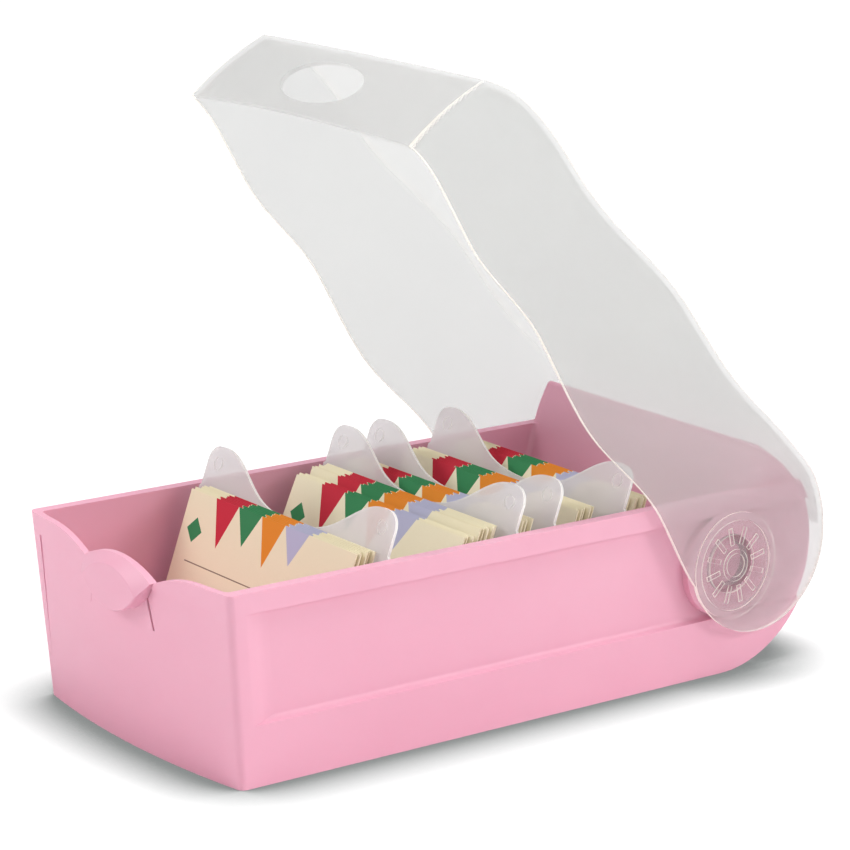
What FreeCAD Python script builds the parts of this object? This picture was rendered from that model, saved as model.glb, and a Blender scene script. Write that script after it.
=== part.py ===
import FreeCAD, Part
import math
import os

# Card index box for small landscape cards: an open tub with a rounded back, a wavy clear lid
# hinged on the sides of that back, four leaf dividers and five stacks of index cards.
# Millimetres. X runs across the box, +Y to its back, +Z up. The origin is the middle of the
# underside. The lid is modelled half open, which is its rest position.

# Cards
card_width = 74.0
card_height = 52.0
card_thickness = 0.32
card_pitch = 0.85
card_side_shift = 0.8
shift_step = 2.4
lean = 19.0
slumped_lean = 23.0

# Tub
tub_length = 193.0
card_room = 4.2
card_show = 1.3
wall = 1.6
floor_thickness = 2.2
side_draft = 1.6
front_lean = 5.0
front_bow_bottom = 3.9
front_bow_rim = 2.6
corner_radius = 2.0
inner_radius = 1.5
rim_band = 5.5
recess_depth = 1.6
recess_start = 3.0
recess_lead = 0.1
recess_blend = 9.0
ledge_height = 16.2
ledge_slope = 0.7
ledge_round = 1.2
barrel_radius = 31.5
shoulder_setback = 5.0
back_wall_lean = 15.7
back_rise = 11.9
back_bend_radius = 43.0
back_round = 1.2
mould_slot = 14.0
panel_depth = 0.3
panel_half_width = 41.0
panel_fade_height = 12.0

# Hinge
boss_radius = 14.8
boss_proud = 1.6
hub_radius = 8.0
hub_clearance = 0.06
hub_seat = 0.8
hub_end_gap = 0.3
hub_wall = 2.0

# Latch tongue in the front wall
tongue_length = 16.7
tongue_foot_half = 14.4
tongue_waist_half = 12.4
tongue_waist_drop = 8.7
tongue_half_width = 15.4
tongue_arch = 4.2
tongue_slit = 0.5
root_gap = 0.05
root_relief = 0.4
scallop_half_width = 33.0
scallop_drop = 4.1
pad_proud = 2.6
pad_top_drop = 2.4
pad_tip_half = 12.4
pad_tip_drop = 8.0
pad_bottom_drop = 14.1
pad_round = 0.5

# Lid, as it is when closed
lid_wall = 1.1
lid_open_angle = 48.0
lid_side_gap = 0.7
lid_draft = 1.6
lid_front_gap = 3.5
lid_front_lean = 4.6
lid_front_bend_share = 0.92
lid_front_bow = 2.6
lid_front_height = 27.2
lid_overlap = 18.6
lid_edge_radius = 1.8
barrel_gap = 3.0
ear_radius = 24.2
ear_drop = 1.9
ear_offset_y = 2.8
ear_start_angle = -112.0
shell_end_angle = 52.0
window_half_length = 15.7
window_half_height = 7.6
window_height = 11.6
ring_outer = 14.6
ring_inner = 12.4
ring_proud = 0.35
rosette_outer = 4.4
rosette_inner = 3.2
rib_count = 12
rib_inner = 5.8
rib_outer = 10.6
rib_width = 1.3

# Shares along the lid from its front to the hinge, and below that the shares of the height
# between its front's lower edge and its crown, or of the height of that lower edge.
top_wave_shares = [
    (0.0, 0.683), (0.039, 0.780), (0.082, 0.869), (0.130, 0.911), (0.191, 0.920), (0.276, 0.889),
    (0.336, 0.883), (0.409, 0.909), (0.494, 0.957), (0.567, 0.974), (0.652, 0.946),
    (0.748, 0.923), (0.827, 0.943), (0.906, 0.983), (0.973, 1.0), (1.033, 0.980), (1.079, 0.891),
]
lower_wave_shares = [
    (0.0, 0.0), (0.065, 0.0), (0.115, -0.044), (0.158, -0.087), (0.205, -0.128), (0.264, -0.134),
    (0.342, -0.118), (0.385, -0.128), (0.439, -0.178), (0.488, -0.231), (0.536, -0.277),
    (0.597, -0.312), (0.670, -0.296), (0.736, -0.265), (0.791, -0.265), (0.845, -0.312),
]

# Dividers
divider_thickness = 0.9
divider_lid_gap = 0.8
lid_dip_start_share = 0.2
divider_valley = 12.0
divider_side_gap = 0.5
divider_shoulder = 0.8
divider_hump_radius = 4.5
mark_radius = 2.0
mark_line = 0.4
mark_depth = 0.2
mark_inset = 0.6
mark_drop = 4.6
foot_gap = 0.1

# The valley between the humps: shares of the divider's half width, and of the valley's depth
valley_shares = [(0.66, 0.17), (0.51, 0.50), (0.36, 0.79), (0.18, 0.95), (0.0, 1.0)]

# Sheets in each stack of cards
sheet_counts = {
    "card_1": 7,
    "card_2_front": 4,
    "card_2_back": 7,
    "card_3": 6,
    "card_4": 8,
    "card_5": 7,
}

# The row from front to back: name, lean, and the room left ahead of it as a share of the tub's
# length. A name without a count of sheets is a divider.
row_shares = [
    ("card_1", lean, 0.1438),
    ("divider_1", lean, 0.0089),
    ("card_2_front", slumped_lean, 0.1219),
    ("card_2_back", lean, 0.0336),
    ("divider_2", lean, 0.0161),
    ("card_3", lean, 0.0234),
    ("divider_3", lean, 0.0190),
    ("card_4", lean, 0.0552),
    ("divider_4", lean, 0.0367),
    ("card_5", lean, 0.0313),
]

# How far every cut runs past the surface that it cuts
overrun = 5.0

# Places that follow from the sizes above
rim_width = wall + recess_depth
half_width = card_width / 2 + card_room + rim_width + side_draft
tub_height = card_height - card_show
front_y = -tub_length / 2
front_limit = front_y - front_bow_bottom - overrun
through_front = front_bow_bottom + front_lean + wall + 2 * overrun
hinge_y = tub_length / 2 - barrel_radius
hinge_z = barrel_radius
band_height = tub_height - rim_band
shoulder_foot = hinge_y + shoulder_setback
tongue_root = tub_height - tongue_length
lid_top = 2 * barrel_radius + barrel_gap + lid_wall
top_limit = lid_top + overrun
lid_front = front_y - lid_front_gap
lid_front_base = tub_height - lid_overlap
lid_half_width = half_width + lid_side_gap + lid_wall


def vec(x, y, z):
    return FreeCAD.Vector(x, y, z)


ORIGIN = vec(0, 0, 0)
X_AXIS = vec(1, 0, 0)
Y_AXIS = vec(0, 1, 0)
HINGE = vec(0, hinge_y, hinge_z)
EAR = vec(0, hinge_y + ear_offset_y, lid_top - ear_drop - ear_radius)

# The centre of the bend in the tub's back above the rim
bend_turn = math.radians(back_wall_lean)
BEND = vec(
    0,
    shoulder_foot + back_bend_radius * math.cos(bend_turn),
    tub_height - back_bend_radius * math.sin(bend_turn),
)
crown_rise = tub_height + back_rise - BEND.z
crown_lean = math.degrees(math.asin(crown_rise / back_bend_radius))


def line(a, b):
    return Part.LineSegment(a, b).toShape()


def path(points):
    return [line(a, b) for a, b in zip(points, points[1:])]


def arc(a, middle, b):
    return Part.Arc(a, middle, b).toShape()


def spline(points, end_direction=None):
    curve = Part.BSplineCurve()
    if end_direction is None:
        curve.interpolate(points)
        return curve.toShape()
    curve.interpolate(
        Points=points,
        InitialTangent=points[1] - points[0],
        FinalTangent=end_direction,
    )
    return curve.toShape()


# A point at an angle round a centre, in the side view. Angles are from the back, upwards.
def around(centre, radius, degrees):
    turn = math.radians(degrees)
    return centre + vec(0, math.cos(turn), math.sin(turn)) * radius


def arc_around(centre, radius, start, end):
    middle = (start + end) / 2
    return arc(*[around(centre, radius, turn) for turn in (start, middle, end)])


def face(edges):
    return Part.Face(Part.Wire(Part.__sortEdges__(edges)))


# A side view carried across the whole width and past it.
def across(edges):
    reach = lid_half_width + overrun
    shape = face(edges).extrude(vec(2 * reach, 0, 0))
    shape.translate(vec(-reach, 0, 0))
    return shape


# A front view carried back through the front wall.
def through_wall(edges):
    shape = face(edges).extrude(vec(0, through_front, 0))
    shape.translate(vec(0, front_limit, 0))
    return shape


def box(low, high):
    size = high - low
    return Part.makeBox(size.x, size.y, size.z, low)


def rod(radius, x_start, x_end):
    return Part.makeCylinder(radius, x_end - x_start, vec(x_start, hinge_y, hinge_z), X_AXIS)


def ring(outer, inner, x_start, x_end):
    return rod(outer, x_start, x_end).cut(rod(inner, x_start, x_end))


def mirrored(shape):
    return shape.mirror(ORIGIN, X_AXIS)


def both_sides(shape):
    return shape.fuse(mirrored(shape))


def edge_ends(edge):
    return [corner.Point for corner in edge.Vertexes]


def outer_half_width(z):
    return half_width - side_draft * (1 - z / tub_height)


def front_corner(z):
    return front_y + front_lean * (1 - z / tub_height)


def front_bow(z):
    return front_bow_bottom + (front_bow_rim - front_bow_bottom) * z / tub_height


def front_skin(z):
    return front_corner(z) - front_bow(z)


# A plan outline with straight sides and back and a bowed front.
def plan_wire(z, side, front, bow, back):
    return Part.Wire([
        arc(vec(-side, front, z), vec(0, front - bow, z), vec(side, front, z)),
        line(vec(side, front, z), vec(side, back, z)),
        line(vec(side, back, z), vec(-side, back, z)),
        line(vec(-side, back, z), vec(-side, front, z)),
    ])


# A block with the tub's drafted sides and bowed, leaning front.
def tub_block(low, high, side_inset, front_inset):
    back = tub_length / 2 + overrun
    wires = []
    for z in (low, high):
        side = outer_half_width(z) - side_inset
        wires.append(plan_wire(z, side, front_corner(z) + front_inset, front_bow(z), back))
    return Part.makeLoft(wires, True, True)


# A point on the front of the back's bend, or behind it, where the wall leans by an angle.
def bend_point(radius, degrees):
    turn = math.radians(degrees)
    return BEND + vec(0, -math.cos(turn), math.sin(turn)) * radius


def bend_arc(radius, end_lean):
    leans = (back_wall_lean, (back_wall_lean + end_lean) / 2, end_lean)
    return arc(*[bend_point(radius, degrees) for degrees in leans])


# The angle round the hinge at which the slope down from the crown meets the round back.
def crown_tangent():
    crown = bend_point(back_bend_radius, crown_lean) - HINGE
    turn = math.atan2(crown.z, crown.y) - math.acos(barrel_radius / crown.Length)
    return math.degrees(turn)


# The tub's side view: flat base, rim, raised back that bends over, and round barrel.
def tub_outline():
    tangent = crown_tangent()
    edges = [
        arc_around(HINGE, barrel_radius, -90, tangent),
        line(around(HINGE, barrel_radius, tangent), bend_point(back_bend_radius, crown_lean)),
        bend_arc(back_bend_radius, crown_lean),
    ]
    return edges + path([
        bend_point(back_bend_radius, back_wall_lean),
        vec(0, front_limit, tub_height),
        vec(0, front_limit, 0),
        around(HINGE, barrel_radius, -90),
    ])


def front_corner_edges(block):
    found = []
    for edge in block.Edges:
        ends = edge_ends(edge)
        if max(p.y for p in ends) < 0 and abs(ends[0].z - ends[-1].z) > tub_height:
            found.append(edge)
    return found


# The edges of the raised back, without the seam where its slope runs into the barrel.
def raised_edges(body):
    seam = around(HINGE, barrel_radius, crown_tangent()).z
    found = []
    for edge in body.Edges:
        ends = edge_ends(edge)
        heights = [p.z for p in ends]
        crosswise = abs(ends[0].x - ends[-1].x) > half_width
        if min(heights) < band_height or max(heights) < tub_height + wall:
            continue
        if not crosswise or min(heights) > seam + wall:
            found.append(edge)
    return found


def tub_solid():
    block = tub_block(0, top_limit, 0, 0)
    block = block.makeFillet(corner_radius, front_corner_edges(block))
    body = block.common(across(tub_outline()))
    body = body.cut(both_sides(box(
        vec(half_width - recess_depth, 0, tub_height),
        vec(half_width + overrun, tub_length, top_limit),
    )))
    body = body.makeFillet(back_round, raised_edges(body))
    body = body.cut(front_panel(block))
    body = body.cut(both_sides(side_recess()))
    body = body.fuse([hinge_boss(), mirrored(hinge_boss())])
    body = body.cut(card_space())
    body = body.cut(back_hollow())
    body = body.cut(both_sides(hub_socket()))
    body = body.cut(both_sides(scallop()))
    body = body.cut(tongue_space())
    return body.removeSplitter()


# The faint step across the front below the rim band, fading out towards the base.
def front_panel(block):
    shifted = block.copy()
    turn = math.degrees(math.atan(panel_depth / (band_height - panel_fade_height)))
    shifted.rotate(vec(0, front_y, panel_fade_height), X_AXIS, -turn)
    low = vec(-panel_half_width, front_limit, panel_fade_height)
    high = vec(panel_half_width, front_y + front_lean + overrun, band_height)
    return box(low, high).cut(shifted)


# The long side recess under the rim band, over which the closed lid's side hangs. It runs in
# from the front on an S-shaped ramp, and its wall meets the ledge below in a small hollow.
def side_recess():
    far = half_width + overrun
    mouth_drop = (far - outer_half_width(ledge_height)) * ledge_slope / recess_depth
    ledge_top = ledge_height + ledge_slope
    foot_x = outer_half_width(ledge_top) - recess_depth
    section = path([
        vec(far, front_y, ledge_height - mouth_drop),
        vec(foot_x, front_y, ledge_top),
        vec(outer_half_width(band_height) - recess_depth, front_y, band_height),
        vec(far, front_y, band_height),
        vec(far, front_y, ledge_height - mouth_drop),
    ])
    along = face(section).extrude(vec(0, tub_length + overrun, 0))
    foot = [e for e in along.Edges if max(abs(p.x - foot_x) for p in edge_ends(e)) < panel_depth]
    foot = [e for e in foot if max(p.z for p in edge_ends(e)) < ledge_top + panel_depth]
    along = along.makeFillet(ledge_round, foot)
    return along.common(face(ramp_plan()).extrude(vec(side_draft, -front_lean, tub_height)))


# The plan of the recess at the base, with the ramp as two equal arcs that mirror each other.
def ramp_plan():
    far = half_width + 2 * overrun
    start = vec(outer_half_width(0) + recess_lead, front_y + front_lean + recess_start, 0)
    full = vec(outer_half_width(0) - recess_depth, start.y + recess_blend, 0)
    middle = (start + full) / 2
    turn = 2 * math.atan((start.x - full.x) / recess_blend)
    radius = recess_blend / 2 / math.sin(turn)
    bulge = vec(-radius * (1 - math.cos(turn / 2)), radius * math.sin(turn / 2), 0)
    ramp = [arc(start, start + bulge, middle), arc(middle, full - bulge, full)]
    return ramp + path([
        full,
        vec(full.x, tub_length, 0),
        vec(far, tub_length, 0),
        vec(far, start.y, 0),
        start,
    ])


# The round pad on each side of the back that carries the lid's hub.
def hinge_boss():
    side = half_width - recess_depth
    return rod(boss_radius, side - wall / 2, side + boss_proud)


def hub_socket():
    socket_floor = half_width - recess_depth - hub_seat
    return rod(hub_radius + hub_clearance, socket_floor, half_width + overrun)


def back_wall_y(z):
    return shoulder_foot - (tub_height - z) * math.tan(math.radians(back_wall_lean))


# The space that the cards stand in, from the front wall to the leaning back wall.
def card_space():
    space = tub_block(floor_thickness, top_limit, rim_width, wall)
    space = space.common(across(path([
        vec(0, front_limit, floor_thickness),
        vec(0, back_wall_y(floor_thickness), floor_thickness),
        vec(0, shoulder_foot, tub_height),
        vec(0, shoulder_foot, top_limit),
        vec(0, front_limit, top_limit),
        vec(0, front_limit, floor_thickness),
    ])))
    rounded = []
    for edge in space.Edges:
        if min(p.z for p in edge_ends(edge)) < floor_thickness + inner_radius:
            rounded.append(edge)
    return space.makeFillet(inner_radius, rounded)


# The hollow inside the round back, open underneath where the mould core came out.
def back_hollow():
    side = outer_half_width(0) - rim_width
    radius = barrel_radius - wall
    bend = back_bend_radius - wall
    shift = wall / math.cos(bend_turn)
    top_lean = crown_lean - math.degrees(wall / back_bend_radius)
    tangent = crown_tangent()
    slot_turn = -math.degrees(math.acos(mould_slot / radius))
    slot_edge = around(HINGE, radius, slot_turn)
    edges = [
        arc_around(HINGE, radius, slot_turn, tangent),
        line(around(HINGE, radius, tangent), bend_point(bend, top_lean)),
        bend_arc(bend, top_lean),
    ]
    edges += path([
        slot_edge,
        vec(0, slot_edge.y, -overrun),
        vec(0, back_wall_y(-overrun) + shift, -overrun),
        bend_point(bend, back_wall_lean),
    ])
    return across(edges).common(box(
        vec(-side, 0, -overrun),
        vec(side, tub_length, top_limit),
    ))


# The dip in the front rim beside the latch tongue.
def scallop():
    near = tongue_half_width + tongue_slit
    fall = scallop_half_width - near
    radius = (fall ** 2 + scallop_drop ** 2) / (2 * scallop_drop)
    middle_drop = radius - math.sqrt(radius ** 2 - fall ** 2 / 4)
    low = vec(near, 0, tub_height - scallop_drop)
    middle = vec(scallop_half_width - fall / 2, 0, tub_height - middle_drop)
    high = vec(scallop_half_width, 0, tub_height)
    up = vec(0, 0, overrun)
    return through_wall([arc(low, middle, high)] + path([high, high + up, low + up, low]))


# Half of the tongue's outline from its foot up, widened all round by a gap.
def tongue_side(side, gap):
    return [
        vec(side * (tongue_foot_half + gap), 0, tongue_root),
        vec(side * (tongue_waist_half + gap), 0, tub_height - tongue_waist_drop),
        vec(side * (tongue_half_width + gap), 0, tub_height - tongue_arch),
    ]


# The cut through the front wall that the tongue stands in.
def tongue_space():
    left = tongue_side(-1, tongue_slit)
    right = tongue_side(1, tongue_slit)
    up = vec(0, 0, tongue_arch + overrun)
    outline = left + [left[-1] + up, right[-1] + up] + right[::-1] + left[:1]
    return through_wall(path(outline))


# The springy tongue: a piece of the front wall with an arched top and an oval thumb pad
# that snaps into the lid's window. Its foot is relieved inside, where it bends.
def latch_tongue():
    inside = tub_block(0, top_limit, rim_width, wall)
    skin = tub_block(0, top_limit, 0, 0).cut(inside)
    left = tongue_side(-1, 0)
    right = tongue_side(1, 0)
    top = arc(left[-1], vec(0, 0, tub_height), right[-1])
    column = through_wall([top] + path(left[::-1] + right))
    skin_y = front_skin(tongue_root)
    foot_z = tongue_root + root_gap
    column = column.cut(across(path([
        vec(0, skin_y, foot_z),
        vec(0, skin_y + wall, foot_z + root_relief),
        vec(0, skin_y + wall + overrun, foot_z + root_relief),
        vec(0, skin_y + wall + overrun, 0),
        vec(0, front_limit, 0),
        vec(0, front_limit, foot_z),
        vec(0, skin_y, foot_z),
    ])))
    leaf = skin.common(column)
    return leaf.fuse(thumb_pad().cut(inside).common(column)).removeSplitter()


# The outline of the thumb pad: tips at both ends, a top that rises and a belly that falls.
def pad_outline(y, half_length, tip_drop, top_drop):
    left = vec(-half_length, y, tub_height - tip_drop)
    right = vec(half_length, y, tub_height - tip_drop)
    top = arc(left, vec(0, y, tub_height - top_drop), right)
    belly = arc(right, vec(0, y, tub_height - pad_bottom_drop), left)
    return Part.Wire([top, belly])


# The thumb pad's top slopes from the tongue's arch down to its face, so that the lid's front
# rides over it, and its underside is square to the wall, so that the lid stays shut.
def thumb_pad():
    skin_y = front_y - front_bow_rim
    back = pad_outline(skin_y, tongue_half_width, tongue_arch, 0)
    front = pad_outline(skin_y - pad_proud, pad_tip_half, pad_tip_drop, pad_top_drop)
    slope = Part.makeLoft([front, back], True, True)
    rim = [e for e in slope.Edges if e.BoundBox.YMax < skin_y - pad_proud / 2]
    slope = slope.makeFillet(pad_round, rim)
    return slope.fuse(Part.Face(back).extrude(vec(0, 2 * wall, 0)))


# Points along the top and the lower edge of the lid, as heights above or below its front's
# lower edge.
def wave(shares, height):
    points = []
    for along, up in shares:
        y = lid_front + along * (hinge_y - lid_front)
        points.append(vec(0, y, lid_front_base + up * height))
    return points


# The same points moved in from the surface.
def moved_in(points, inset):
    moved = []
    for before, point, after in zip(points[:1] + points, points, points[1:] + points[-1:]):
        along = (after - before).normalize()
        moved.append(point - X_AXIS.cross(along) * inset)
    return moved


def lid_width_at(z):
    return lid_half_width - lid_draft * (z - tub_height) / tub_height


# The front of the lid leans back more and more towards its top.
def lid_front_at(z):
    share = (z - lid_front_base) / lid_front_height
    bend = lid_front_bend_share * share + 1 - lid_front_bend_share
    return lid_front + lid_front_lean * share * bend


# A block with the lid's drafted sides and its bowed, bent front.
def lid_block(inset):
    levels = [-overrun, lid_front_base, tub_height, lid_top, top_limit]
    wires = []
    for z in levels:
        side = lid_width_at(z) - inset
        wires.append(plan_wire(z, side, lid_front_at(z) + inset, lid_front_bow, tub_length))
    return Part.makeLoft(wires, True, False)


# The lid's top line from ahead of its front to the end of the shell over the ears.
def top_line(inset):
    points = moved_in(wave(top_wave_shares, lid_top - lid_front_base), inset)
    end = around(EAR, ear_radius - inset, shell_end_angle)
    ahead = vec(0, front_limit - overrun, points[0].z)
    falling = around(EAR, ear_radius, shell_end_angle - 90) - EAR
    return [line(ahead, points[0]), spline(points + [end], falling)]


# Everything under the top line, ahead of the end of the shell.
def under_top():
    edges = top_line(0)
    ahead = edges[0].Vertexes[0].Point
    end = around(EAR, ear_radius, shell_end_angle)
    return across(edges + path([end, vec(0, end.y, 0), vec(0, ahead.y, 0), ahead]))


# The lid's inside, which goes on past the end of the shell and below the side panels.
def lid_inside():
    edges = top_line(lid_wall)
    ahead = edges[0].Vertexes[0].Point
    outside = around(EAR, ear_radius + overrun, shell_end_angle)
    space = lid_block(lid_wall).common(across(edges + path([
        around(EAR, ear_radius - lid_wall, shell_end_angle),
        outside,
        vec(0, EAR.y + ear_radius + overrun, outside.z),
        vec(0, EAR.y + ear_radius + overrun, -overrun),
        vec(0, ahead.y, -overrun),
        ahead,
    ])))
    return space.makeFillet(lid_edge_radius - lid_wall, lid_edges(space, lid_wall))


# The edges along the lid's top, over its front and up its front corners.
def lid_edges(shape, inset):
    end = around(EAR, ear_radius - inset, shell_end_angle)
    found = []
    for edge in shape.Edges:
        middle = edge.valueAt((edge.FirstParameter + edge.LastParameter) / 2)
        ends = edge_ends(edge)
        at_side = abs(middle.x) > half_width - inset
        on_top = min(p.z for p in ends) > end.z - lid_wall and middle.y < end.y
        at_front = middle.y < front_y / 2
        upright_edge = at_front and abs(ends[0].z - ends[-1].z) > tub_height / 2
        front_edge = at_front and abs(middle.x) < wall and middle.z > tub_height
        if front_edge or (at_side and (on_top or upright_edge)):
            found.append(edge)
    return found


# Everything above the wavy lower edge, as far as the back of the round ears.
def above_lower_edge():
    lower = wave(lower_wave_shares, lid_front_base)
    lower.append(around(EAR, ear_radius, ear_start_angle))
    end = around(EAR, ear_radius, shell_end_angle)
    ahead = vec(0, front_limit - overrun, lid_front_base)
    edges = [spline(lower), arc_around(EAR, ear_radius, ear_start_angle, shell_end_angle)]
    return across(edges + path([
        end,
        vec(0, end.y, top_limit),
        vec(0, ahead.y, top_limit),
        ahead,
        lower[0],
    ]))


# The part of the round ears behind the end of the shell.
def ear_backs():
    end = around(EAR, ear_radius, shell_end_angle)
    reach = lid_half_width + overrun
    disc = Part.makeCylinder(ear_radius, 2 * reach, EAR - vec(reach, 0, 0), X_AXIS)
    return disc.common(box(vec(-reach, end.y, -overrun), vec(reach, tub_length, top_limit)))


def lid_solid():
    shell = lid_block(0).common(under_top())
    shell = shell.makeFillet(lid_edge_radius, lid_edges(shell, 0))
    body = shell.common(above_lower_edge())
    body = body.fuse(lid_block(0).common(ear_backs()))
    body = body.cut(lid_inside())
    body = body.fuse([hub(), mirrored(hub()), hinge_mark(), mirrored(hinge_mark())])
    body = body.cut(window())
    body = body.removeSplitter()
    body.rotate(HINGE, X_AXIS, -lid_open_angle)
    return body


# The hollow hub that turns in the tub's socket.
def hub():
    start = half_width - recess_depth - hub_seat + hub_end_gap
    face_x = lid_width_at(hinge_z) - lid_wall / 2
    return rod(hub_radius, start, face_x).cut(rod(hub_radius - hub_wall, start, face_x - lid_wall))


# The raised rings and ribs on the ear round the hinge.
def hinge_mark():
    start = lid_width_at(hinge_z) - lid_wall / 2
    end = start + overrun
    mark = ring(ring_outer, ring_inner, start, end)
    mark = mark.fuse(ring(rosette_outer, rosette_inner, start, end))
    for turn in range(rib_count):
        rib = box(
            vec(start, hinge_y - rib_width / 2, hinge_z + rib_inner),
            vec(end, hinge_y + rib_width / 2, hinge_z + rib_outer),
        )
        rib.rotate(HINGE, X_AXIS, turn * 360 / rib_count)
        mark = mark.fuse(rib)
    return mark.common(lid_block(-ring_proud))


# The oval window that the thumb pad snaps into.
def window():
    oval = Part.Ellipse(ORIGIN, window_half_length, window_half_height).toShape()
    hole = Part.Face(Part.Wire([oval])).extrude(vec(0, 0, 2 * overrun))
    hole.rotate(ORIGIN, X_AXIS, -90)
    hole.translate(vec(0, lid_front - overrun, lid_front_base + window_height))
    return hole


# A sheet stands on its back lower edge and leans back from there.
def leaned(sheet, foot_y, degrees):
    sheet.rotate(ORIGIN, X_AXIS, -degrees)
    sheet.translate(vec(0, foot_y, floor_thickness + foot_gap))
    return sheet


def divider_half_width(z):
    return outer_half_width(z) - rim_width - divider_side_gap


# How far the wave of the lid's top dips towards its front's lower edge, behind its front.
def lid_dip():
    rises = [up for along, up in top_wave_shares if lid_dip_start_share < along < 1]
    return min(rises) * (lid_top - lid_front_base)


# A leaf as wide as the tub's inside, with two humps above the rim and a valley between them.
def divider(foot_y):
    cosine = math.cos(math.radians(lean))
    lowest = lid_front_base + lid_dip() - lid_wall - divider_lid_gap
    peak = (lowest - floor_thickness) / cosine
    rim = (tub_height - floor_thickness) / cosine
    rim_half = divider_half_width(tub_height)
    hump_half = rim_half - divider_shoulder
    hump_corner = peak - divider_hump_radius
    flat = hump_half - divider_hump_radius
    bevel = divider_hump_radius * (1 - math.sqrt(0.5))

    def at(u, s):
        return vec(u, -divider_thickness, s)

    valley = [(flat, peak)]
    for u, v in valley_shares:
        valley.append((u * hump_half, peak - v * divider_valley))
    valley += [(-u, s) for u, s in reversed(valley[:-1])]
    edges = [spline([at(u, s) for u, s in valley])]
    for side in (-1, 1):
        edges.append(arc(
            at(side * hump_half, hump_corner),
            at(side * (hump_half - bevel), peak - bevel),
            at(side * flat, peak),
        ))
        edges += path([
            at(side * hump_half, hump_corner),
            at(side * hump_half, rim),
            at(side * rim_half, rim - divider_shoulder),
            at(side * divider_half_width(floor_thickness), inner_radius),
            at(side * (divider_half_width(floor_thickness) - inner_radius), 0),
            at(0, 0),
        ])
    leaf = face(edges).extrude(vec(0, divider_thickness, 0))
    for side in (-1, 1):
        leaf = leaf.cut(hump_mark(at(side * (flat - mark_inset), peak - mark_drop)))
    return leaned(leaf, foot_y, lean)


# The small moulded ring on the front of each hump.
def hump_mark(centre):
    mark = Part.makeCylinder(mark_radius, mark_depth, centre, Y_AXIS)
    return mark.cut(Part.makeCylinder(mark_radius - mark_line, mark_depth, centre, Y_AXIS))


def card(foot_y, side_shift, degrees):
    corner = vec(side_shift - card_width / 2, -card_thickness, 0)
    return leaned(Part.makeBox(card_width, card_thickness, card_height, corner), foot_y, degrees)


# The stacks of cards and the dividers between them, from the front to the back.
def sheets():
    found = {}
    foot = front_y
    for name, degrees, room_share in row_shares:
        foot += room_share * tub_length
        if name not in sheet_counts:
            found[name] = divider(foot)
            continue
        for index in range(sheet_counts[name]):
            place = foot + index * card_pitch
            shift = card_side_shift * math.sin(len(found) * shift_step)
            found[f"{name}_{index + 1}"] = card(place, shift, degrees)
        foot = place
    return found


def all_parts():
    parts = {"tub": tub_solid(), "latch_tongue": latch_tongue(), "lid": lid_solid()}
    parts.update(sheets())
    return parts


if __name__ == "__main__":
    os.makedirs("parts", exist_ok=True)
    for name, shape in all_parts().items():
        shape.exportStep(f"parts/{name}.step")
        print(name, shape.isValid(), len(shape.Solids), round(shape.Volume, 1))
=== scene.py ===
import bpy
from mathutils import Matrix, Vector

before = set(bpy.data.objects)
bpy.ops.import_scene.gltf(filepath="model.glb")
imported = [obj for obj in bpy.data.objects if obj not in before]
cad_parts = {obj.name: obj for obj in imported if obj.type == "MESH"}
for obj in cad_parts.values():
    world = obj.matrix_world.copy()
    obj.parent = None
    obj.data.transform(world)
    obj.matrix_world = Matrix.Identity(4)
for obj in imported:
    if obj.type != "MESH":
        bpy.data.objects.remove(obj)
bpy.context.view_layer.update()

# Tub and latch tongue: one piece of pink polypropylene, injection moulded, with a fine spark
# texture on the outside. The plastic lets a little light into itself, so its edges look soft,
# and the gloss is broad and weak.
mm = 0.001


def linear(code):
    channels = [int(code[i:i + 2], 16) / 255 for i in (1, 3, 5)]
    return [c / 12.92 if c <= 0.04045 else ((c + 0.055) / 1.055) ** 2.4 for c in channels] + [1.0]


def add(tree, kind, values):
    node = tree.nodes.new(kind)
    for name, value in values.items():
        if isinstance(value, bpy.types.NodeSocket):
            tree.links.new(value, node.inputs[name])
        elif isinstance(name, int) or name in node.inputs.keys():
            node.inputs[name].default_value = value
        else:
            setattr(node, name, value)
    return node


def start_material(name):
    material = bpy.data.materials.new(name)
    material.use_nodes = True
    material.node_tree.nodes.clear()
    return material, material.node_tree


def dress(node_names, material):
    for name in node_names:
        for piece_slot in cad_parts[name].material_slots:
            piece_slot.link = "OBJECT"
            piece_slot.material = material


pink_light = linear("#E0A6B9")
pink_deep = linear("#DB9CB1")
flow_size = 40 * mm
spark_texture_size = 0.35 * mm
spark_texture_depth = 0.05 * mm
light_reach = 2 * mm

# Moulded polypropylene: the slow drift of colour and gloss is the flow of the melt, and the
# bump is the spark-eroded skin of the mould, which breaks the highlights up.
pink_polypropylene, tree = start_material("moulded_pink_polypropylene")
place = add(tree, "ShaderNodeTexCoord", {}).outputs["Object"]
flow = add(tree, "ShaderNodeTexNoise", {"Vector": place, "Scale": 1 / flow_size, "Detail": 3.0})
tint = add(tree, "ShaderNodeMix", {"data_type": "RGBA", 0: flow.outputs[0], 6: pink_light, 7: pink_deep})
grain = add(tree, "ShaderNodeTexNoise", {"Vector": place, "Scale": 1 / spark_texture_size, "Detail": 2.0})
sheen = add(tree, "ShaderNodeMapRange", {"Value": flow.outputs[0], "To Min": 0.36, "To Max": 0.46})
bump = add(tree, "ShaderNodeBump", {
    "Height": grain.outputs[0], "Strength": 0.06, "Distance": spark_texture_depth,
})
plastic = add(tree, "ShaderNodeBsdfPrincipled", {
    "Base Color": tint.outputs[2], "Roughness": sheen.outputs[0], "IOR": 1.49,
    "Subsurface Weight": 0.12, "Subsurface Scale": light_reach, "Subsurface Radius": (1.0, 0.5, 0.6),
    "Normal": bump.outputs[0],
})
add(tree, "ShaderNodeOutputMaterial", {"Surface": plastic.outputs[0]})
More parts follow.
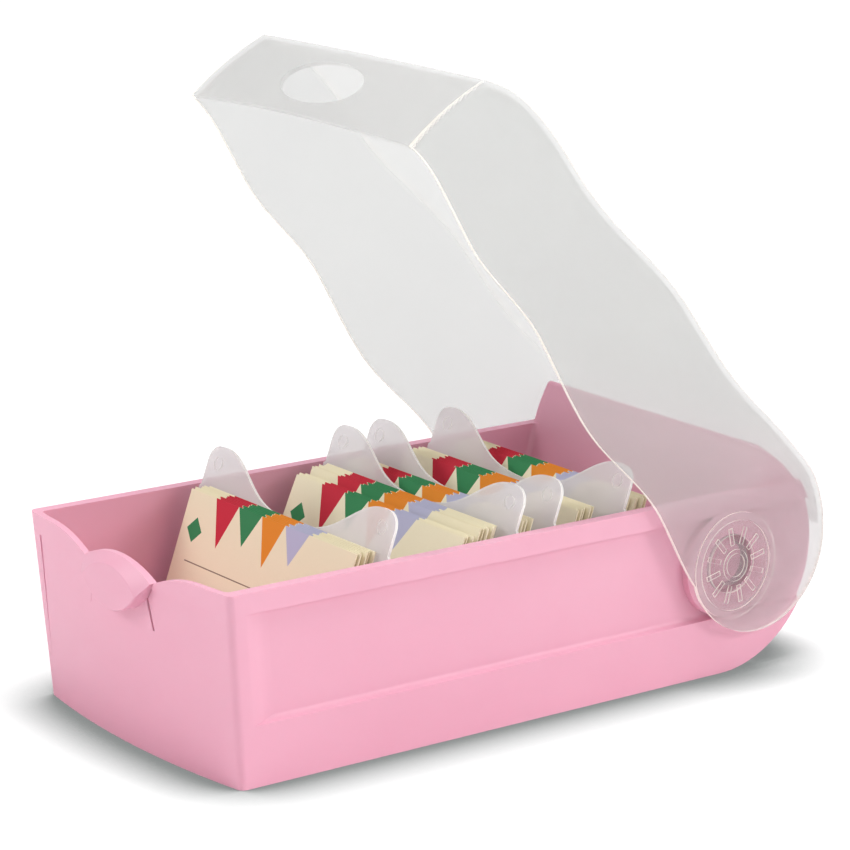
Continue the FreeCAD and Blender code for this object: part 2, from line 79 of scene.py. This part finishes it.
dress(["tub", "latch_tongue"], pink_polypropylene)

# Dividers: four loose leaves moulded from thin natural polypropylene. The plastic is milky:
# what stands close behind still shows through, and the edges carry a painted highlight: they are painted
# white and made less clear.
milk_white = linear("#F9F8F9")
milk_shade = linear("#F1EFF1")
painted_edge_highlight_white = linear("#FFFFFC")
cloud_size = 25 * mm

# Natural polypropylene, moulded thin: part of the light goes straight through, part is
# scattered on both sides by the milky body, and the skin has a soft satin gloss.
milky_polypropylene, tree = start_material("milky_moulded_polypropylene")
place = add(tree, "ShaderNodeTexCoord", {}).outputs["Object"]
cloud = add(tree, "ShaderNodeTexNoise", {"Vector": place, "Scale": 1 / cloud_size, "Detail": 2.0})
tint = add(tree, "ShaderNodeMix", {"data_type": "RGBA", 0: cloud.outputs[0], 6: milk_white, 7: milk_shade})
true_normal = add(tree, "ShaderNodeNewGeometry", {}).outputs["True Normal"]
facing = add(tree, "ShaderNodeSeparateXYZ", {0: true_normal})
turned = add(tree, "ShaderNodeMath", {"operation": "ABSOLUTE", 0: facing.outputs[1]}).outputs[0]
leaf_edge = add(tree, "ShaderNodeMath", {"operation": "LESS_THAN", 0: turned, 1: 0.5}).outputs[0]
# Painted highlight: the edge faces of each leaf are painted near white in the base colour.
tint = add(tree, "ShaderNodeMix", {"data_type": "RGBA", 0: leaf_edge, 6: tint.outputs[2], 7: painted_edge_highlight_white})
matt = add(tree, "ShaderNodeMapRange", {"Value": cloud.outputs[0], "To Min": 0.4, "To Max": 0.55})
skin = add(tree, "ShaderNodeBsdfPrincipled", {
    "Base Color": tint.outputs[2], "Roughness": matt.outputs[0], "IOR": 1.49,
})
glow = add(tree, "ShaderNodeBsdfTranslucent", {"Color": tint.outputs[2]})
milk = add(tree, "ShaderNodeMixShader", {0: 0.5, 1: skin.outputs[0], 2: glow.outputs[0]})
clear = add(tree, "ShaderNodeBsdfTransparent", {"Color": tint.outputs[2]})
milkiness = add(tree, "ShaderNodeMapRange", {"Value": leaf_edge, "To Min": 0.58, "To Max": 0.95})
leaf = add(tree, "ShaderNodeMixShader", {0: milkiness.outputs[0], 1: clear.outputs[0], 2: milk.outputs[0]})
add(tree, "ShaderNodeOutputMaterial", {"Surface": leaf.outputs[0]})
dress([f"divider_{number}" for number in range(1, 5)], milky_polypropylene)

# Cards: cream index board, cut square and printed with a row of coloured pennants that bleed
# over the top edge, a small diamond and a ruled writing line. Matt, with a faint fibre.
card_width = 74 * mm
card_height = 52 * mm
cream = linear("#F6EED1")
cream_deep = linear("#EFE4C3")
print_red = linear("#C81F38")
print_orange = linear("#E58A1F")
print_lavender = linear("#B9B9D4")
print_green = linear("#2E8450")
line_ink = linear("#8A7763")
pennants = [
    (17.0 * mm, 12.5 * mm, print_red),
    (27.5 * mm, 9.5 * mm, print_green),
    (38.0 * mm, 12.5 * mm, print_orange),
    (48.5 * mm, 9.5 * mm, print_lavender),
]
pennant_half_width = 5.2 * mm
diamond_along = 6.0 * mm
diamond_up = 42.0 * mm
diamond_half_width = 3.4 * mm
ruled_height = 33.6 * mm
ruled_half_width = 0.16 * mm
ruled_middle = 37.0 * mm
ruled_half_length = 31.7 * mm
fibre_size = 0.6 * mm
fibre_depth = 0.03 * mm


def how_far(tree, value, middle):
    gap = add(tree, "ShaderNodeMath", {"operation": "SUBTRACT", 0: value, 1: middle}).outputs[0]
    return add(tree, "ShaderNodeMath", {"operation": "ABSOLUTE", 0: gap}).outputs[0]


def print_ink(tree, colour, shape, face, ink):
    inked = add(tree, "ShaderNodeMath", {"operation": "MULTIPLY", 0: shape, 1: face}).outputs[0]
    return add(tree, "ShaderNodeMix", {"data_type": "RGBA", 0: inked, 6: colour, 7: ink}).outputs[2]


# Index board with offset print: the ink lies flat in the fibres, so only the colour changes,
# and each card is a little lighter or darker than the next.
card_board, tree = start_material("printed_cream_index_board")
place = add(tree, "ShaderNodeTexCoord", {})
axes = add(tree, "ShaderNodeSeparateXYZ", {0: place.outputs["Generated"]})
faces = add(tree, "ShaderNodeSeparateXYZ", {0: place.outputs["Normal"]})
along = add(tree, "ShaderNodeMath", {"operation": "MULTIPLY", 0: axes.outputs[0], 1: card_width}).outputs[0]
up = add(tree, "ShaderNodeMath", {"operation": "MULTIPLY", 0: axes.outputs[2], 1: card_height}).outputs[0]
fibre = add(tree, "ShaderNodeTexNoise", {
    "Vector": place.outputs["Object"], "Scale": 1 / fibre_size, "Detail": 3.0,
}).outputs[0]
which = add(tree, "ShaderNodeObjectInfo", {}).outputs["Random"]
shade = add(tree, "ShaderNodeMix", {0: 0.6, 2: fibre, 3: which}).outputs[0]
colour = add(tree, "ShaderNodeMix", {"data_type": "RGBA", 0: shade, 6: cream, 7: cream_deep}).outputs[2]
face = add(tree, "ShaderNodeMath", {"operation": "LESS_THAN", 0: faces.outputs[1], 1: 0.5}).outputs[0]
for middle, depth, ink in pennants:
    rise = add(tree, "ShaderNodeMath", {"operation": "SUBTRACT", 0: up, 1: card_height - depth}).outputs[0]
    half = add(tree, "ShaderNodeMath", {
        "operation": "MULTIPLY", 0: rise, 1: pennant_half_width / depth,
    }).outputs[0]
    aside = how_far(tree, along, middle)
    pennant = add(tree, "ShaderNodeMath", {"operation": "LESS_THAN", 0: aside, 1: half}).outputs[0]
    colour = print_ink(tree, colour, pennant, face, ink)
reach = add(tree, "ShaderNodeMath", {
    "operation": "ADD", 0: how_far(tree, along, diamond_along), 1: how_far(tree, up, diamond_up),
}).outputs[0]
diamond = add(tree, "ShaderNodeMath", {"operation": "LESS_THAN", 0: reach, 1: diamond_half_width}).outputs[0]
colour = print_ink(tree, colour, diamond, face, print_green)
level = add(tree, "ShaderNodeMath", {
    "operation": "LESS_THAN", 0: how_far(tree, up, ruled_height), 1: ruled_half_width,
}).outputs[0]
within = add(tree, "ShaderNodeMath", {
    "operation": "LESS_THAN", 0: how_far(tree, along, ruled_middle), 1: ruled_half_length,
}).outputs[0]
ruled = add(tree, "ShaderNodeMath", {"operation": "MULTIPLY", 0: within, 1: level}).outputs[0]
colour = print_ink(tree, colour, ruled, face, line_ink)
bump = add(tree, "ShaderNodeBump", {"Height": fibre, "Strength": 0.1, "Distance": fibre_depth})
board = add(tree, "ShaderNodeBsdfPrincipled", {
    "Base Color": colour, "Roughness": 0.75, "IOR": 1.45, "Normal": bump.outputs[0],
})
add(tree, "ShaderNodeOutputMaterial", {"Surface": board.outputs[0]})
dress([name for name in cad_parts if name.startswith("card_")], card_board)

# Lid: frosted natural polypropylene, moulded as one thin shell with round ears and hubs. Its
# walls are clear enough to show the tub through them, a little veiled, and along every edge of the
# shell, where the wall is seen end on, a bright line is painted into the colour as a highlight.
frost_white = linear("#EAECE9")
frost_shade = linear("#E4E5E4")
frost_clear = linear("#F3F3F3")
painted_edge_highlight = linear("#FFFBF3")
haze_size = 45 * mm
hinge_back = 65 * mm
hinge_up = 31.5 * mm
hub_rim = 9 * mm
hub_blend = 4 * mm
panel_inside = 46.55 * mm
edge_softness = 0.3 * mm

# Frosted polypropylene: the thin wall passes part of the light straight on and scatters the
# rest to both sides. The hubs are clearer, so that the pink of the tub's sockets shows.
frosted_polypropylene, tree = start_material("frosted_moulded_polypropylene")
place = add(tree, "ShaderNodeTexCoord", {}).outputs["Object"]
cloud = add(tree, "ShaderNodeTexNoise", {"Vector": place, "Scale": 1 / haze_size, "Detail": 2.0})
arm = add(tree, "ShaderNodeVectorMath", {"operation": "SUBTRACT", 0: place, 1: (0, hinge_back, hinge_up)})
arm = add(tree, "ShaderNodeVectorMath", {"operation": "MULTIPLY", 0: arm.outputs[0], 1: (0, 1, 1)})
away = add(tree, "ShaderNodeVectorMath", {"operation": "LENGTH", 0: arm.outputs[0]}).outputs["Value"]
tint = add(tree, "ShaderNodeMix", {"data_type": "RGBA", 0: cloud.outputs[0], 6: frost_white, 7: frost_shade})
spot = add(tree, "ShaderNodeSeparateXYZ", {0: place})
true_normal = add(tree, "ShaderNodeNewGeometry", {}).outputs["True Normal"]
facing = add(tree, "ShaderNodeSeparateXYZ", {0: true_normal})
aside = add(tree, "ShaderNodeMath", {"operation": "ABSOLUTE", 0: spot.outputs[0]}).outputs[0]
outer = add(tree, "ShaderNodeMapRange", {
    "Value": aside, "From Min": panel_inside, "From Max": panel_inside + edge_softness,
}).outputs[0]
turned = add(tree, "ShaderNodeMath", {"operation": "ABSOLUTE", 0: facing.outputs[0]}).outputs[0]
square = add(tree, "ShaderNodeMapRange", {
    "Value": turned, "From Min": 0.5, "From Max": 0.8, "To Min": 1.0, "To Max": 0.0,
}).outputs[0]
edge = add(tree, "ShaderNodeMath", {"operation": "MULTIPLY", 0: outer, 1: square}).outputs[0]
# Painted highlight: the shell's outer edges, where the wall is seen end on, are painted near white and made
# less clear.
tint = add(tree, "ShaderNodeMix", {"data_type": "RGBA", 0: edge, 6: tint.outputs[2], 7: painted_edge_highlight})
matt = add(tree, "ShaderNodeMapRange", {"Value": cloud.outputs[0], "To Min": 0.36, "To Max": 0.46})
skin = add(tree, "ShaderNodeBsdfPrincipled", {
    "Base Color": tint.outputs[2], "Roughness": matt.outputs[0], "IOR": 1.49,
})
glow = add(tree, "ShaderNodeBsdfTranslucent", {"Color": tint.outputs[2]})
milk = add(tree, "ShaderNodeMixShader", {0: 0.5, 1: skin.outputs[0], 2: glow.outputs[0]})
clear = add(tree, "ShaderNodeBsdfTransparent", {"Color": frost_clear})
thin = add(tree, "ShaderNodeMapRange", {
    "Value": away, "From Min": hub_rim, "From Max": hub_rim + hub_blend, "To Min": 0.16, "To Max": 0.28,
})
veil = add(tree, "ShaderNodeMix", {0: edge, 2: thin.outputs[0], 3: 0.9})
shell = add(tree, "ShaderNodeMixShader", {0: veil.outputs[0], 1: clear.outputs[0], 2: milk.outputs[0]})
add(tree, "ShaderNodeOutputMaterial", {"Surface": shell.outputs[0]})
dress(["lid"], frosted_polypropylene)

# Studio: a white paper sweep, lit so brightly that it shows white, with the contact shadow mostly
# painted into its colour from ambient occlusion and only a little of it real; softboxes overhead,
# at the back right and at the front left, and a room that is darker behind the camera.
sweep_size = 12
sweep_drop = 0.05 * mm
contact_reach = 22 * mm
painted_contact_shadow_grey = linear("#878B8A")
paper_white = linear("#FFFFFF")
camera_side = (0.79, -0.61, 0.0)
box_middle = (0, 0, 0.05)

bpy.ops.mesh.primitive_plane_add(size=sweep_size, location=(0, 0, -sweep_drop))
floor = bpy.context.object
floor.name = "floor"
white_paper, tree = start_material("matt_white_background_paper")
# Painted shadow: ambient occlusion darkens the paper's colour toward grey near the tub, both in its emission
# and in its diffuse part.
covered = add(tree, "ShaderNodeAmbientOcclusion", {"Distance": contact_reach, "samples": 16})
shade = add(tree, "ShaderNodeMapRange", {
    "Value": covered.outputs["AO"], "From Min": 0.53, "From Max": 0.97,
}).outputs[0]
tint = add(tree, "ShaderNodeMix", {"data_type": "RGBA", 0: shade, 6: painted_contact_shadow_grey, 7: paper_white})
paper = add(tree, "ShaderNodeBsdfDiffuse", {"Color": linear("#FBFBFB"), "Roughness": 1.0})
shadowed = add(tree, "ShaderNodeBsdfDiffuse", {"Color": tint.outputs[2], "Roughness": 1.0})
bright = add(tree, "ShaderNodeEmission", {"Color": tint.outputs[2], "Strength": 1.12})
seen = add(tree, "ShaderNodeMixShader", {0: 0.85, 1: shadowed.outputs[0], 2: bright.outputs[0]})
eye = add(tree, "ShaderNodeLightPath", {}).outputs["Is Camera Ray"]
surface = add(tree, "ShaderNodeMixShader", {0: eye, 1: paper.outputs[0], 2: seen.outputs[0]})
add(tree, "ShaderNodeOutputMaterial", {"Surface": surface.outputs[0]})
floor.data.materials.append(white_paper)

world = bpy.data.worlds.new("studio")
bpy.context.scene.world = world
world.use_nodes = True
tree = world.node_tree
tree.nodes.clear()
way = add(tree, "ShaderNodeTexCoord", {}).outputs["Generated"]
toward = add(tree, "ShaderNodeVectorMath", {"operation": "DOT_PRODUCT", 0: way, 1: camera_side})
room = add(tree, "ShaderNodeMapRange", {
    "Value": toward.outputs["Value"], "From Min": 0.1, "From Max": 0.95, "To Min": 0.6, "To Max": 0.45,
})
lit = add(tree, "ShaderNodeBackground", {"Color": paper_white, "Strength": room.outputs[0]})
white = add(tree, "ShaderNodeBackground", {"Color": paper_white, "Strength": 1.0})
eye = add(tree, "ShaderNodeLightPath", {}).outputs["Is Camera Ray"]
sky = add(tree, "ShaderNodeMixShader", {0: eye, 1: lit.outputs[0], 2: white.outputs[0]})
add(tree, "ShaderNodeOutputWorld", {"Surface": sky.outputs[0]})


def softbox(name, place, size, power):
    lamp = bpy.data.lights.new(name, "AREA")
    lamp.shape = "SQUARE"
    lamp.size = size
    lamp.energy = power
    holder = bpy.data.objects.new(name, lamp)
    bpy.context.scene.collection.objects.link(holder)
    holder.location = place
    holder.rotation_euler = (Vector(box_middle) - Vector(place)).to_track_quat("-Z", "Y").to_euler()


softbox("overhead_softbox", (0.3, 0.2, 1.45), 0.7, 13)
softbox("right_softbox", (1.1, 0.75, 0.6), 0.5, 8)
softbox("front_softbox", (-0.6, -1.2, 0.9), 0.6, 8)

# Camera: at the photograph's place, with its long lens. The focal length is in the pixels of a
# square picture.
picture_pixels = 850
focal_pixels = 3330.19
camera_place = Vector((0.67436, -0.52050, 0.28878))
right = Vector((0.60571611, 0.79554887, 0.01449096))
upward = Vector((-0.20712958, 0.14006817, 0.9682346))
back = Vector((0.76824822, -0.58947681, 0.24962325))
lens = bpy.data.cameras.new("camera")
lens.sensor_width = 36.0
lens.sensor_fit = "HORIZONTAL"
lens.lens = focal_pixels / picture_pixels * lens.sensor_width
lens.clip_start = 0.01
camera = bpy.data.objects.new("camera", lens)
bpy.context.scene.collection.objects.link(camera)
camera.matrix_world = Matrix.Translation(camera_place) @ Matrix((right, upward, back)).transposed().to_4x4()
bpy.context.scene.camera = camera
bpy.context.scene.view_settings.view_transform = "Standard"
